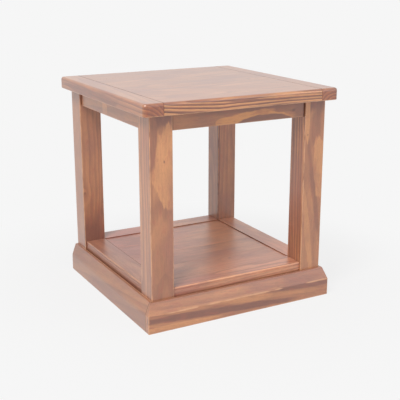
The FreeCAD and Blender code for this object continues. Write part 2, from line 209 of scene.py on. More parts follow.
def flame_and_painted_light_tone(finish, along, spot, half, warp, flames):
    """How light, above 0, or dark, below 0, the flames make the wood, painted light and painted
    shade among them. Each is gone a little below its face."""
    ragged = 0.9
    whole_to, gone_at = 3 * MM, 9 * MM
    tone = 0.0
    for flame in [FlameAndPaintedLight(*given) for given in flames]:
        lengthwise = along - flame.along
        aside = spot[flame.sideways] - flame.aside - lengthwise * flame.lean
        reach = finish.maths("SQRT", (lengthwise * lengthwise) * (2 / flame.length) ** 2
                             + (aside * aside) * (2 / flame.width) ** 2) + (warp - 0.5) * ragged
        depth = half[flame.outward] - spot[flame.outward] * flame.sign
        mask = finish.rise(reach, 1.0, flame.core) * finish.rise(depth, gone_at, whole_to)
        tone = tone * (1.0 - mask) + mask * flame.tone
    return tone


def worn_and_highlit_arrises(finish, spot, half, kink):
    """The distance from the nearest arris of a board or, with a kink, from the nearest worn stretch
    of it, which wear and a painted highlight lighten. The kink is given as the place behind which
    it ends, on Y, and its height."""
    x, y, z = [h - finish.maths("ABSOLUTE", s) for s, h in zip(spot, half)]
    nearest = finish.maths("MAXIMUM", finish.maths("MINIMUM", x, y),
                           finish.maths("MINIMUM", finish.maths("MAXIMUM", x, y), z))
    if not kink:
        return nearest
    front, height = kink
    place = finish.place()
    off_kink = finish.maths("ABSOLUTE", place[2] - height * MM)
    behind = finish.rise(place[1], front * MM, (front + 1.0) * MM)
    stretches = finish.noise(finish.join(place[0] * 9.0, 0.0, 0.0))
    unworn = finish.rise(stretches, 0.46, 0.60) * (4 * MM)
    return finish.maths("MINIMUM", nearest, off_kink + behind + unworn)


def gathered_stain_and_shade(finish, seams):
    """A mask of the glued joints where the stain has gathered, with painted shade at some of them."""
    full_at = 0.5 * MM
    place = finish.place()
    mask = 0.0
    for axis, where, lowest, reach in seams:
        gone = finish.maths("ABSOLUTE", place["xyz".index(axis)] - where * MM)
        above = finish.rise(place[2], (lowest - 1.0) * MM, lowest * MM)
        mask = finish.maths("MAXIMUM", finish.rise(gone, reach * MM, full_at) * above, mask)
    return mask


# Colours that the stain, the knots and the wear add to early and late wood; the dark flames, the
# seams and the worn arrises also carry painted shade and painted highlights.
RING_EDGE = linear(108, 62, 42)
DARK_FIGURE_AND_SHADE = linear(112, 64, 52)
RED_MOTTLE = linear(154, 80, 58)
FILLED_PORE = linear(96, 56, 42)
KNOT_CORE = linear(96, 52, 36)
WORN_AND_HIGHLIT_ARRIS = linear(222, 166, 124)
SEAM_STAIN_AND_SHADE = linear(84, 52, 40)


def stained_wood(slot, knots=(), flames=(), seams=(), ring=6.0, dullness=0.28, shine=0.5,
                 wear=0.5, kink=None, early=(156, 98, 72), late=(208, 144, 94),
                 blush=(164, 102, 84), ends=(196, 150, 128)):
    """Sawn softwood, stained and lacquered: the stain sinks into the early wood and leaves the late
    wood of each ring orange, with a dark line where the next starts. Ring is the width of a ring.
    Seams are glued joints where the stain has gathered, and some also hold painted shade: each is
    an axis of the table, a place on it, the height above which it shows and how far it reaches.
    Dullness is the lacquer's roughness, and shine the wood's own sheen. Blush is the tone of the
    broad patches, and ends tints the end grain. Lengths are in millimetres."""
    finish = Finish(slot, {"Coat Weight": 1.0, "Coat Roughness": dullness, "Coat IOR": 1.6,
                           "Specular IOR Level": shine})
    along, across, deep = finish.parts(finish.attribute("log"))
    spot = finish.parts(finish.attribute("spot"))
    half = finish.parts(finish.attribute("half"))
    figure, growth, shade = finish.parts(finish.attribute("look"))
    rise, lay, maths, join = finish.rise, finish.lay, finish.maths, finish.join

    def grain(lengthwise, sidewise, detail, output="Fac"):
        """Noise in the log, by how many waves it has in a metre along the grain and across it."""
        place = join(along * lengthwise, across * sidewise, deep * sidewise)
        return finish.noise(place, detail, output)

    # The rings, round a pith that wanders.
    wander, ripple = 16 * MM, 1.2 * MM
    drift = finish.parts(grain(2.2, 9.0, 2.0, "Color"))
    bulge, core = branches(finish, along, across, deep, knots)
    off_across = across + (drift[0] - 0.5) * (2 * wander)
    off_deep = deep + (drift[1] - 0.5) * (2 * wander)
    radius = (maths("SQRT", off_across * off_across + off_deep * off_deep)
              + (grain(12.0, 80.0, 3.0) - 0.5) * (2 * ripple) - bulge)
    year = radius / (growth * (ring * MM)) + drift[2] * 1.5
    season = maths("FRACT", year)
    swell = rise(season, 0.25, 0.75) * rise(season, 1.0, 0.92)
    richness = rise(finish.noise(join(year * 0.42, along * 1.5, 0.0), 1.0), 0.18, 0.62)
    even = 0.38
    late_wood = (swell * richness - even) * figure + even

    # The flames, which hide the rings; some of them are painted light and painted shade.
    cover = 0.8
    light, dark = 0.0, 0.0
    if flames:
        tone = flame_and_painted_light_tone(finish, along, spot, half, grain(14.0, 50.0, 4.0), flames)
        light = maths("MAXIMUM", tone, 0.0)
        dark = maths("MAXIMUM", 0.0 - tone, 0.0)
    uncovered = 1.0 - (light + dark) * cover
    # Light flames lift the late wood: broad late wood, and painted light.
    late_wood = late_wood * uncovered + light * cover
    ring_edge = rise(season, 0.34, 0.06) * figure * uncovered * 0.7

    # The texture of the wood.
    fibre = grain(26.0, 900.0, 3.0)
    streak = grain(5.0, 260.0, 2.0)
    mottle = grain(34.0, 120.0, 2.0)
    pores = rise(grain(70.0, 2000.0, 1.0), 0.64, 0.72)
    blotch = grain(6.0, 18.0, 3.0)

    colour = lay(late_wood, linear(*early), linear(*late))
    colour = lay(ring_edge, colour, RING_EDGE)
    # Dark flames: dark figure, and painted shade.
    colour = lay(dark * cover, colour, DARK_FIGURE_AND_SHADE)
    veil = rise(blotch, 0.42, 0.70) * rise(figure, 2.0, 0.5) * 0.6
    colour = lay(veil, colour, linear(*blush))
    colour = lay(rise(mottle, 0.52, 0.70) * 0.35, colour, RED_MOTTLE)
    lines = rise(streak, 0.25, 0.75) * 0.22 + rise(fibre, 0.25, 0.75) * 0.14 - 0.18
    grey = (lines * rise(figure, 0.0, 0.5) + rise(mottle, 0.25, 0.75) * 0.16
            + rise(blotch, 0.65, 0.35) * 0.16 + 0.88)
    colour = lay(1.0, colour, join(grey, grey, grey), "MULTIPLY")
    colour = lay(pores * 0.4, colour, FILLED_PORE)
    colour = lay(core * 0.75, colour, KNOT_CORE)
    colour = lay(finish.attribute("end", "Fac") * 0.7, colour, linear(*ends), "MULTIPLY")

    # The wear on the arrises, partly a painted highlight, and the stain in the seams, partly painted
    # shade, which takes the lacquer's gloss away.
    worn = rise(worn_and_highlit_arrises(finish, spot, half, kink), 3.2 * MM, 1.0 * MM)
    colour = lay(worn * rise(mottle, 0.2, 0.6) * wear, colour, WORN_AND_HIGHLIT_ARRIS)
    coat = None
    if seams:
        stain = gathered_stain_and_shade(finish, seams)
        colour = lay(stain * 0.8, colour, SEAM_STAIN_AND_SHADE)
        coat = 1.0 - stain * 0.9
    colour = lay(1.0, colour, join(shade, shade, shade), "MULTIPLY")
    roughness = 0.38 + fibre * 0.16 - late_wood * 0.05
    relief = late_wood * 0.4 + fibre * 0.6 - pores * 0.8
    return finish.done(colour, roughness, relief, 0.10 * MM, coat)


def bright_steel(slot):
    """Plated steel with a fine brushed grain."""
    finish = Finish(slot, {"Metallic": 1.0})
    place = finish.node("ShaderNodeTexCoord", output="Object")
    grain = finish.node("ShaderNodeVectorMath", {"operation": "SCALE"}, {0: place, "Scale": 900.0})
    brushed = finish.noise(grain)
    colour = finish.lay(brushed, linear(150, 150, 154), linear(196, 196, 200))
    return finish.done(colour, brushed * 0.2 + 0.25)


# ---------- boards

# A covered side is taken to lie this much further out, so that neither wear nor a painted
# highlight shows at its arrises.
COVERED = 20.0


class Board:
    """How a board was sawn and how it looks. It has its box and the axis of its grain; where along
    its log its middle lies, in metres; where the pith lies, in millimetres from its middle on its
    two other axes, and how the pith slopes. Figure is how boldly its rings show, growth how wide
    they are and shade how light it is; calm is how much less they show on the side that it names.
    Only the arrises of the box around it are worn, and a butted board's ends are covered."""

    def __init__(self, low, high, grain, start, pith, slope=(0.0, 0.0), figure=0.6, growth=1.0,
                 shade=1.0, calm=(0.0, "up"), around=None, butted=False):
        self.middle = (Vector(low) + Vector(high)) / 2
        self.grain = "xyz".index(grain)
        self.axes = [self.grain] + [axis for axis in range(3) if axis != self.grain]
        self.start = start
        self.pith = pith
        self.slope = slope
        self.look = (figure, growth, shade)
        self.calm, side = calm
        self.calm_side = Vector({"up": (0, 0, 1), "front": (0, -1, 0)}[side])
        around_low, around_high = around or (low, high)
        self.around_middle = (Vector(around_low) + Vector(around_high)) / 2
        half = (Vector(around_high) - Vector(around_low)) / 2
        self.half = [half[axis] for axis in self.axes]
        if butted:
            self.half[0] += COVERED * MM

    def log_place(self, point):
        """A point's place in the log: along it, and across it from the pith."""
        place = point - self.middle
        along = place[self.grain]
        off_pith = [place[axis] - pith * MM - along * slope
                    for axis, pith, slope in zip(self.axes[1:], self.pith, self.slope)]
        return [along + self.start, *off_pith]

    def spot(self, point):
        """A point's place on the box around the board, from its middle."""
        place = point - self.around_middle
        return [place[axis] for axis in self.axes]

    def face_look(self, normal):
        """The figure, growth and shade of a face."""
        figure, growth, shade = self.look
        calmed = self.calm * max(0.0, normal.dot(self.calm_side))
        return [figure * (1.0 - calmed), growth, shade]


def saw(mesh, boards, wood):
    """Writes on a mesh what the wood finishes read, with 1 for "end" on end grain. The vertices of
    a mesh with several boards carry their numbers."""
    numbers = [0] * len(mesh.vertices)
    if "board" in mesh.attributes:
        numbers = [round(item.value) for item in mesh.attributes["board"].data]
    log, spot, half = [], [], []
    for vertex, number in zip(mesh.vertices, numbers):
        board = boards[number]
        log += board.log_place(vertex.co)
        spot += board.spot(vertex.co)
        half += board.half
    for name, values in (("log", log), ("spot", spot), ("half", half)):
        mesh.attributes.new(name, "FLOAT_VECTOR", "POINT").data.foreach_set("vector", values)
    look, end = [], []
    for face in mesh.polygons:
        board = boards[numbers[face.vertices[0]]]
        look += board.face_look(face.normal)
        squareness = abs(face.normal[board.grain])
        end.append(max(0.0, 1.6 * squareness - 0.6))
    mesh.attributes.new("look", "FLOAT_VECTOR", "FACE").data.foreach_set("vector", look)
    mesh.attributes.new("end", "FLOAT", "FACE").data.foreach_set("value", end)
    mesh.materials.clear()
    mesh.materials.append(wood.material)


SHARP_ANGLE = 40.0


def fit(piece, nodes, side="front"):
    """Turns a finished piece to its side of the table, smooths its arrises and hands it over."""
    piece.data.transform(Matrix.Rotation(math.radians(SIDE_TURNS[side]), 4, "Z"))
    for face in piece.data.polygons:
        face.use_smooth = True
    piece.data.set_sharp_from_angle(angle=math.radians(SHARP_ANGLE))
    flat_faces = piece.modifiers.new("flat_faces", "WEIGHTED_NORMAL")
    flat_faces.keep_sharp = True
    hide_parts(*nodes)
    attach(piece, "root")


def piece_from(name, shape):
    """Makes an object of a bmesh."""
    bmesh.ops.recalc_face_normals(shape, faces=shape.faces)
    mesh = bpy.data.meshes.new(name)
    shape.to_mesh(mesh)
    shape.free()
    return new_object(name, mesh)


def make_board(node, shape, board, wood, side="front", name=None):
    """Saws and fits one board's finished shape, which is named after its node."""
    piece = piece_from(name or node + "_wood", shape)
    saw(piece.data, [board], wood)
    fit(piece, [node], side)


def plain_board(low, high):
    """A board that fills a box."""
    shape = bmesh.new()
    bmesh.ops.create_cube(shape, size=1.0)
    for corner in shape.verts:
        corner.co = [high[axis] if corner.co[axis] > 0 else low[axis] for axis in range(3)]
    return shape


def saw_alone(piece, grain, start, pith, wood):
    """Saws a piece as one board that fills its box."""
    corners = [vertex.co for vertex in piece.data.vertices]
    low, high = [[pick(corner[axis] for corner in corners) for axis in range(3)]
                 for pick in (min, max)]
    saw(piece.data, [Board(low, high, grain, start, pith)], wood)


def wall(shape, one, other):
    """Faces from each vertex of a ring to its fellow in another ring."""
    for here, there, next_there, next_here in zip(one, other, other[1:] + other[:1], one[1:] + one[:1]):
        shape.faces.new((here, there, next_there, next_here))


def drawn_out_along_x(profile, start, end):
    """A shape with one profile, given as places on Y and Z, from start to end on X."""
    shape = bmesh.new()
    ends = [[shape.verts.new((x, y, z)) for y, z in profile] for x in (start, end)]
    wall(shape, *ends)
    shape.faces.new(ends[0])
    shape.faces.new(list(reversed(ends[1])))
    return shape


NEAR = 0.02 * MM


def lies_at(axis, value):
    """A test for an edge whose two ends both lie at a value of an axis."""
    number = "xyz".index(axis)
    return lambda one, other: all(abs(end[number] - value) < NEAR for end in (one, other))


def runs_along(axis):
    """A test for an edge that runs along an axis."""
    others = [number for number in range(3) if number != "xyz".index(axis)]
    return lambda one, other: all(abs(one[n] - other[n]) < NEAR for n in others)


def is_not(test):
    """A test for an edge that fails another test."""
    return lambda one, other: not test(one, other)


# The roundings of arrises that are only eased: a board's, a small part's and those at a hairline.
EASED = 0.6
EASED_SMALL = 0.5
EASED_HAIRLINE = 0.35


def ease(shape, radius, *tests, steps=3):
    """Rounds the edges that pass all the tests, which look at an edge's two ends."""
    edges = [edge for edge in shape.edges
             if all(test(edge.verts[0].co, edge.verts[1].co) for test in tests)]
    bmesh.ops.bevel(shape, geom=edges, offset=radius * MM, segments=steps, profile=0.5,
                    affect="EDGES", clamp_overlap=True)


# ---------- repeats

# The open line between two planks, in millimetres.
HAIRLINE = 0.15


class Repeat(Tree):
    """A Geometry Nodes tree with named inputs, for shapes that repeat."""

    def __init__(self, name, sizes):
        self.group = bpy.data.node_groups.new(name, "GeometryNodeTree")
        super().__init__(self.group)
        self.sizes = sizes
        self.group.interface.new_socket("Geometry", in_out="OUTPUT",
                                        socket_type="NodeSocketGeometry")
        self.identifiers = {}
        for size, value in sizes.items():
            kind = "NodeSocketInt" if isinstance(value, int) else "NodeSocketFloat"
            socket = self.group.interface.new_socket(size, in_out="INPUT", socket_type=kind)
            self.identifiers[size] = socket.identifier
        self.given = self.nodes.new("NodeGroupInput")

    def size(self, name):
        return Socket(self, self.given.outputs[name])

    def geometry(self, kind, sockets=None, settings=None, output=0):
        return self.node("GeometryNode" + kind, settings, sockets, output)

    def make(self, name, geometry, material):
        """Runs the tree and gives its result as an object with a plain mesh."""
        real = self.geometry("RealizeInstances", {"Geometry": geometry})
        shown = self.geometry("SetMaterial", {"Geometry": real, "Material": material})
        result = self.nodes.new("NodeGroupOutput")
        self.links.new(shown.output, result.inputs[0])
        piece = new_object(name, bpy.data.meshes.new(name))
        modifier = piece.modifiers.new(self.group.name, "NODES")
        modifier.node_group = self.group
        for size, value in self.sizes.items():
            modifier[self.identifiers[size]] = value
        evaluated = piece.evaluated_get(bpy.context.evaluated_depsgraph_get())
        mesh = bpy.data.meshes.new_from_object(evaluated)
        piece.modifiers.clear()
        piece.data = mesh
        return piece


def plank_row(name, low, high, planks, wood):
    """Planks side by side across a box, with their grain along X and a hairline between them."""
    tree = Repeat("plank_row", {
        "Planks": planks, "Hairline": HAIRLINE * MM, "Length": high[0] - low[0],
        "Width": high[1] - low[1], "Thickness": high[2] - low[2],
        "Middle Y": (high[1] + low[1]) / 2, "Middle Z": (high[2] + low[2]) / 2})
    size = tree.size
    pitch = size("Width") / size("Planks")
    first = size("Middle Y") - size("Width") * 0.5 + pitch * 0.5
    line = tree.geometry("MeshLine", {
        "Count": size("Planks"), "Offset": tree.join(0.0, pitch, 0.0),
        "Start Location": tree.join(0.0, first, size("Middle Z"))})
    plank = tree.geometry("MeshCube", {"Size": tree.join(
        size("Length"), pitch - size("Hairline"), size("Thickness"))})
    row = tree.geometry("InstanceOnPoints", {"Points": line, "Instance": plank})
    numbered = tree.geometry("StoreNamedAttribute",
                             {"Geometry": row, "Name": "board", "Value": tree.geometry("InputIndex")},
                             {"data_type": "FLOAT", "domain": "INSTANCE"})
    piece = tree.make(name, numbered, wood.material)
    shape = bmesh.new()
    shape.from_mesh(piece.data)
    ease(shape, EASED_HAIRLINE, steps=2)
    bmesh.ops.recalc_face_normals(shape, faces=shape.faces)
    shape.to_mesh(piece.data)
    shape.free()
    return piece


def set_out(name, pattern, pitch, count=2, sides=4, first_turn=0.0, turn=90.0):
    """Sets a pattern out along the front, at a pitch in millimetres, and turns the row to the other
    sides. The pattern is an object drawn at the middle of the front, and is used up."""
    tree = Repeat("set_out", {"Pitch": pitch * MM, "Count": count, "Sides": sides,
                              "First turn": math.radians(first_turn), "Turn": math.radians(turn)})
    size = tree.size
    drawn = tree.geometry("ObjectInfo", {"Object": pattern}, {}, "Geometry")
    start = tree.join((size("Count") - 1) * size("Pitch") * -0.5, 0.0, 0.0)
    line = tree.geometry("MeshLine", {"Count": size("Count"), "Start Location": start,
                                      "Offset": tree.join(size("Pitch"), 0.0, 0.0)})
    row = tree.geometry("InstanceOnPoints", {"Points": line, "Instance": drawn})
    centres = tree.geometry("MeshLine", {"Count": size("Sides"), "Offset": (0.0, 0.0, 0.0)})
    turned = tree.join(0.0, 0.0, tree.geometry("InputIndex") * size("Turn") + size("First turn"))
    rows = tree.geometry("InstanceOnPoints",
                         {"Points": centres, "Instance": row, "Rotation": turned})
    piece = tree.make(name, rows, pattern.data.materials[0])
    bpy.data.objects.remove(pattern)
    return piece


# ---------- the finishes

def side_of(node, axis, end):
    """Where a CAD node's box starts, at end 0, or stops, at end 1, in millimetres on an axis."""
    return round(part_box(node)[end]["xyz".index(axis)] / MM, 3)


# Joints that show, in millimetres: at the capping boards, between aprons and legs, round the
# shelf's panel, and behind the plinth's front board.
SHOULDER = side_of("breadboard_end_right", "x", 0)
LEG_INSIDE = side_of("leg_front_right", "x", 0)
PANEL_EDGE = -side_of("shelf_rail_front", "y", 1)
FRONT_SEAM = side_of("plinth_front", "y", 1)

# How high the plinth's face stands upright below its slant, in millimetres.
PLINTH_KINK = 50.0

# A knot is its place, angle, heart, reach and bulge, and a flame its face, along, aside, length,
# width, tone, lean and soft.

top_wood = stained_wood("top_wood", [
    (1350, 60, 4, 40, 8),
    (3200, 100, 5, 40, 8),
], [
    ("-across", 0, 5, 330, 9, -0.7, -0.05, 0.5),
    ("-across", 150, 7, 240, 7, 1.0, -0.03, 0.4),
    ("-across", 5060, -5, 420, 22, -0.6, 0.02),
], seams=[("x", -SHOULDER, 619.0, 1.5), ("x", SHOULDER, 619.0, 1.5)], wear=0.8, ends=(210, 166, 142))

leg_wood = stained_wood("leg_wood", [
    (170, -87, 4, 30, 5),
    (1196, -102, 3, 20, 4),
    (1110, -168, 4, 16, 3),
    (2973, -88, 5, 30, 4),
], [
    # Painted shade under the top, at the top of the front left leg's front face.
    ("-deep", 287, 0, 70, 120, -0.85, 0.0, 0.7),
    ("-deep", 40, -6, 130, 84, -0.4, 0.2, 0.6),
    ("-deep", 156, 22, 222, 104, 0.95),
    ("-deep", 226, -29, 180, 40, -0.45, 0.0, 0.3),
    ("-deep", -20, -6, 150, 50, 0.12, 0.0, 0.8),
    ("-deep", -195, 10, 120, 60, -0.25),
    # Painted shade under the top, at the top of the front right leg's front face.
    ("-deep", 1287, 0, 80, 120, -0.9, 0.0, 0.7),
    ("-deep", 1222, 2, 150, 44, -0.5, 0.0, 0.5),
    ("-deep", 1026, 5, 360, 22, -0.45, -0.16, 0.5),
    ("-deep", 1247, -25, 150, 16, 1.0),
    ("-deep", 1093, 21, 190, 46, 0.9, -0.08),
    ("-deep", 905, -13, 300, 20, 0.8, -0.13),
    ("-deep", 2000, -31, 900, 9, -1.2, 0.0, 0.4),
    ("-deep", 2800, 0, 320, 200, -0.9, 0.0, 0.8),
], ring=9.0, wear=0.8)

frame_wood = stained_wood("frame_wood", [
    (171, -172, 6, 18, 4),
], [
    # Painted shade under the top, along the top of the front apron.
    ("-across", 20, 14, 560, 44, -0.6, -0.01, 0.8),
    ("-across", 42, -22, 240, 66, 1.3),
    ("-across", 76, -24, 170, 44, -0.75, 0.02),
    ("-across", 198, 0, 70, 80, -0.6, 0.0, 0.6),
    ("-across", -48, -14, 76, 26, 1.2),
    # A painted reflection: a light patch on the left apron.
    ("-across", 2972, 0, 36, 90, 1.1),
# The seams at the aprons' ends are a dark glue line and painted shade in the recess beside the legs.
], seams=[(axis, place, 500.0, 6.5) for axis in "xy" for place in (-LEG_INSIDE, LEG_INSIDE)],
    ring=8.0, late=(218, 146, 84))

shelf_wood = stained_wood("shelf_wood", [
    (50, 85, 5, 40, 8),
    (1200, 75, 5, 35, 8),
], [
    # The panel's broad flames are painted light and shade: darker over its left half, lighter over its
    # right half and its front left corner.
    ("deep", -110, -155, 220, 160, 0.6, 0.0, 0.8),
    ("deep", 850, -52, 280, 260, -0.6, 0.0, 0.8),
    ("deep", 1840, 52, 300, 300, -1.0, 0.0, 0.8),
    ("deep", 2830, 155, 320, 300, -1.0, 0.0, 0.8),
    ("deep", 1120, -52, 260, 260, 1.0, 0.0, 0.8),
    ("deep", 2110, 52, 300, 300, 1.3, 0.0, 0.8),
    ("deep", 3120, 155, 260, 260, 1.0, 0.0, 0.8),
    # Painted light on the front rail's face, on the right rail's far half and towards the back rail's
    # middle, and painted shade at the back rail's left end.
    ("-across", 5000, 8, 600, 24, 0.9, 0.0, 0.5),
    ("deep", 6120, 0, 360, 300, 0.9, 0.0, 0.8),
    ("deep", 6920, 0, 320, 200, 1.0, 0.0, 0.8),
    ("deep", 7150, 0, 280, 200, -1.0, 0.0, 0.8),
    ("deep", 8110, -6, 240, 36, 0.6, 0.0, 0.5),
], seams=[("x", -PANEL_EDGE, 108.0, 3.0), ("y", -PANEL_EDGE, 108.0, 2.0),
          ("x", PANEL_EDGE, 108.0, 0.8), ("y", PANEL_EDGE, 108.0, 0.7)],
    dullness=0.34, shine=0.3, wear=0.8, early=(156, 100, 80), late=(200, 142, 106),
    blush=(168, 108, 94))

plinth_wood = stained_wood("plinth_wood", [], [
    ("deep", 0, 0, 660, 60, -0.36, 0.0, 0.3),
    ("-across", 0, 27, 660, 36, -0.36, 0.0, 0.3),
    ("-across", -100, -16, 740, 25, -0.85, -0.057, 0.4),
    ("-across", -200, -32, 300, 17, 0.9, -0.02, 0.3),
    ("-across", 60, -5, 560, 19, 0.45, -0.066, 0.4),
    ("-across", 220, 2, 260, 20, -0.75, -0.04, 0.4),
], seams=[("y", FRONT_SEAM, 0.0, 1.5)], ring=7.0, dullness=0.34, wear=0.8,
    kink=(FRONT_SEAM, PLINTH_KINK), ends=(255, 250, 240))

hidden_wood = stained_wood("hidden_wood", wear=0.1, early=(176, 140, 108), late=(196, 160, 120),
                           blush=(182, 146, 114))
dowel_wood = stained_wood("dowel_wood", ring=3.0, wear=0.0, early=(188, 150, 112),
                          late=(206, 172, 132), blush=(194, 158, 120))
screw_steel = bright_steel("screw_steel")


# ---------- the top

# In millimetres: the open joints at the capping boards, the roundings of the top's upper and lower
# arrises and of its corners as seen from above, and the size of a tongue.
JOINT_GAP = 0.6
TOP_ROUND = 8.0
UNDER_ROUND = 2.0
CORNER_ROUND = 11.0
TONGUE = Vector((16.0, 560.0, 11.0))


def row_boards(low, high, sawn, figure, around):
    """The boards of a row of planks, each sawn its own way."""
    width = (high[1] - low[1]) / len(sawn)
    boards = []
    for number, (start, pith, slope, shade) in enumerate(sawn):
        near = Vector((low[0], low[1] + number * width, low[2]))
        far = Vector((high[0], near[1] + width, high[2]))
        boards.append(Board(near, far, "x", start, pith, slope, figure, growth=1.4, shade=shade,
                            around=around))
    return boards


def make_outer_planks(whole, plank_end):
    """The top's front and back planks, rounded along their outer edges."""
    for node, start, pith, slope, shade in (
            ("top_plank_1", 0.0, (24, -60), (0.01, -0.02), 0.95),
            ("top_plank_5", 2.0, (-10, -80), (-0.02, 0.0), 0.9)):
        low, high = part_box(node)
        low[0], high[0] = -plank_end, plank_end
        edge = max(low[1], high[1], key=abs)
        shape = plain_board(low, high)
        ease(shape, TOP_ROUND, lies_at("y", edge), lies_at("z", high[2]), steps=6)
        ease(shape, UNDER_ROUND, lies_at("y", edge), lies_at("z", low[2]))
        for end in (low[0], high[0]):
            ease(shape, EASED, lies_at("x", end), steps=2)
        board = Board(low, high, "x", start, pith, slope, figure=2.3, shade=shade,
                      calm=(0.87, "up"), around=whole)
        make_board(node, shape, board, top_wood)


def make_inner_planks(whole, plank_end):
    """The top's three planks between the outer two."""
    low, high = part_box("top_plank_2")[0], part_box("top_plank_4")[1]
    low[0], high[0] = -plank_end, plank_end
    inner = plank_row("top_planks_inner", low, high, 3, top_wood)
    saw(inner.data, row_boards(low, high, (
        (1.0, (14, -90), (0.03, 0.02), 0.94),
        (3.0, (-20, -60), (-0.02, 0.03), 0.9),
        (4.0, (6, -75), (0.025, -0.02), 0.93)), 0.3, whole), top_wood)
    fit(inner, ["top_plank_2", "top_plank_3", "top_plank_4"])


def make_capping_boards(whole):
    """The boards across the planks' ends, rounded on their three outer sides."""
    for side, sign, start, pith, growth in (("left", -1, 5.0, (-16, -34), 1.8),
                                            ("right", 1, 6.0, (24, -40), 1.6)):
        node = "breadboard_end_" + side
        low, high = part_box(node)
        joint = sign * (SHOULDER + JOINT_GAP / 2) * MM
        if sign > 0:
            low[0] = joint
        else:
            high[0] = joint
        shape = plain_board(low, high)
        outside = max(low[0], high[0], key=abs)
        ease(shape, CORNER_ROUND, lies_at("x", outside), runs_along("z"), steps=8)
        ease(shape, TOP_ROUND, lies_at("z", high[2]), is_not(lies_at("x", joint)), steps=6)
        ease(shape, UNDER_ROUND, lies_at("z", low[2]), is_not(lies_at("x", joint)))
        ease(shape, EASED, lies_at("x", joint), steps=2)
        board = Board(low, high, "y", start, pith, (0.02, 0.02), figure=0.7, growth=growth,
                      shade=0.92, calm=(0.7, "up"), around=whole)
        make_board(node, shape, board, top_wood, name="cap_" + side)


def make_tongues():
    """The long tongues that fill the grooves of the capping boards."""
    height = (side_of("top_plank_1", "z", 0) + side_of("top_plank_1", "z", 1)) / 2
    size = Matrix.Diagonal(TONGUE * MM).to_4x4()
    shape = bmesh.new()
    for sign in (-1, 1):
        middle = Vector((sign * (SHOULDER + TONGUE.x / 2), 0.0, height)) * MM
        bmesh.ops.create_cube(shape, size=1.0, matrix=Matrix.Translation(middle) @ size)
    ease(shape, EASED_SMALL, steps=2)
    piece = piece_from("top_tongues", shape)
    saw_alone(piece, "x", 7.0, (0, -60), top_wood)
    fit(piece, ["top_plank_%d" % number for number in range(1, 6)])


def make_top():
    """Five glued planks between two capping boards across their ends."""
    whole = (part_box("breadboard_end_left")[0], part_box("breadboard_end_right")[1])
    plank_end = (SHOULDER - JOINT_GAP / 2) * MM
    make_outer_planks(whole, plank_end)
    make_inner_planks(whole, plank_end)
    make_capping_boards(whole)
    make_tongues()


# ---------- the frame

# Roundings, in millimetres.
LEG_ROUND = 2.0
FOOT_ROUND = 0.8
APRON_ROUND = 1.5


def make_legs():
    """Four square legs, with their ends covered."""
    for corner, start, pith, slope, figure, growth, shade, calm in (
            ("front_left", 0.0, (8, 34), (-0.02, 0.03), 0.45, 1.4, 0.97, 0.5),
            ("front_right", 1.0, (-10, 42), (0.02, 0.03), 0.8, 1.2, 0.93, 0.8),
            ("back_right", 2.0, (30, 20), (0.02, 0.02), 0.25, 0.9, 0.96, 0.0),
            ("back_left", 3.0, (-30, 34), (0.02, -0.02), 0.28, 0.6, 0.92, 0.0)):
        node = "leg_" + corner
        low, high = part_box(node)
        shape = plain_board(low, high)
        ease(shape, LEG_ROUND, runs_along("z"))
        ease(shape, FOOT_ROUND, lies_at("z", low[2]), steps=2)
        board = Board(low, high, "z", start, pith, slope, figure, growth, shade, (calm, "front"),
                      butted=True)
        make_board(node, shape, board, leg_wood)


def make_aprons():
    """Four aprons from leg to leg, set back from the legs' faces."""
    # The front apron's shade is set lower, partly as painted shade under the top.
    for side, start, pith, shade in (("front", 0.0, (60, 6), 0.84), ("right", 1.0, (50, -12), 0.9),
                                     ("back", 2.0, (70, 0), 0.9), ("left", 3.0, (60, 20), 1.02)):
        low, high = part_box("apron_front")
        low[0], high[0] = -LEG_INSIDE * MM, LEG_INSIDE * MM
        shape = plain_board(low, high)
        ease(shape, APRON_ROUND, lies_at("z", low[2]), runs_along("x"))
        board = Board(low, high, "x", start, pith, (0.02, 0.02), figure=0.2, growth=1.6,
                      shade=shade, butted=True)
        make_board("apron_" + side, shape, board, frame_wood, side)


# ---------- the shelf

# The rail's outer edge, from below its quirk up to its top face: how far in and how far up each
# point lies from the corner of the plain board, in millimetres.
MOULDING = ((0.0, -7.4), (1.3, -6.6), (0.2, -5.6), (0.4, -2.6), (1.2, -0.9), (2.8, 0.0))

# How far the panel stays short of the rails, in millimetres.
PANEL_GAP = 1.0


def moulded_rail(low, high):
    """A rail whose outer edge is rounded at the top, with a fine quirk below."""
    out, top = low[1], high[2]
    edge = [(out + inwards * MM, top + up * MM) for inwards, up in MOULDING]
    return drawn_out_along_x([(high[1], low[2]), (out, low[2]), *edge, (high[1], top)],
                             low[0], high[0])


